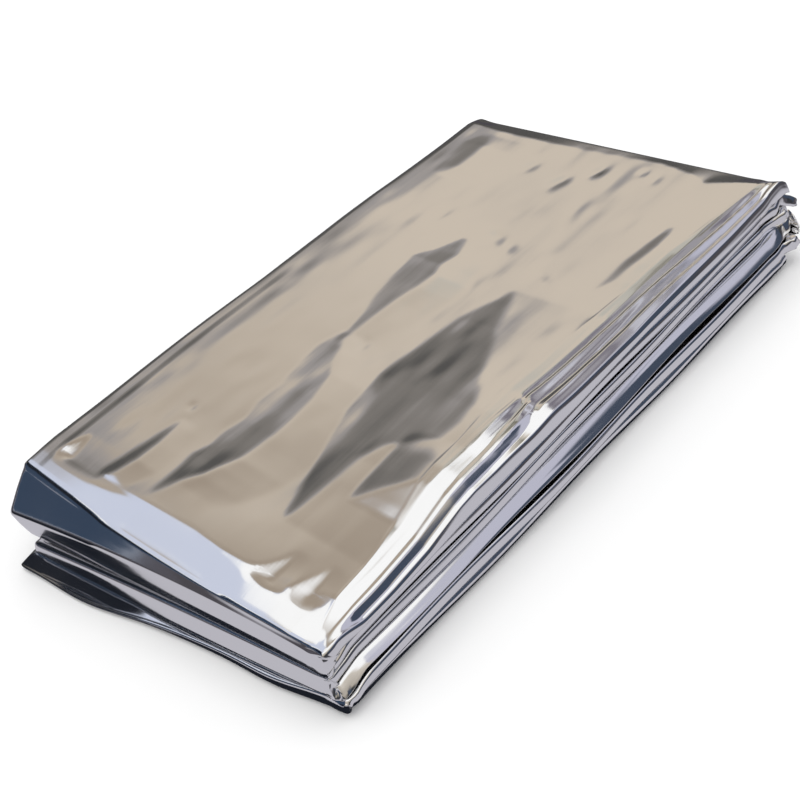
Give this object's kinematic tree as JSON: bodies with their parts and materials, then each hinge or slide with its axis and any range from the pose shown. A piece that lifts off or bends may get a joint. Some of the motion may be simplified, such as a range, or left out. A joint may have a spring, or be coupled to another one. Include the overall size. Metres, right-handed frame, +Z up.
{
  "type": "folded emergency foil blanket",
  "caption": "Emergency blanket of thin metallised film, folded back and forth into a flat pocket-size pack that rests on a surface.",
  "frame": {"origin": "middle of the box of the folded pack, on the surface it lies on", "axes": "+X along the pack, from the short end with the wedge-shaped fold to the other, +Y across it, +Z up"},
  "size_m": [0.1654, 0.0926, 0.0223],
  "materials": {
    "film": "aluminium-coated polyester film, mirror-bright, with soft creases and fine crinkles"
  },
  "bodies": {
    "root": {"foil_blanket": "film"}
  },
  "joints": []
}
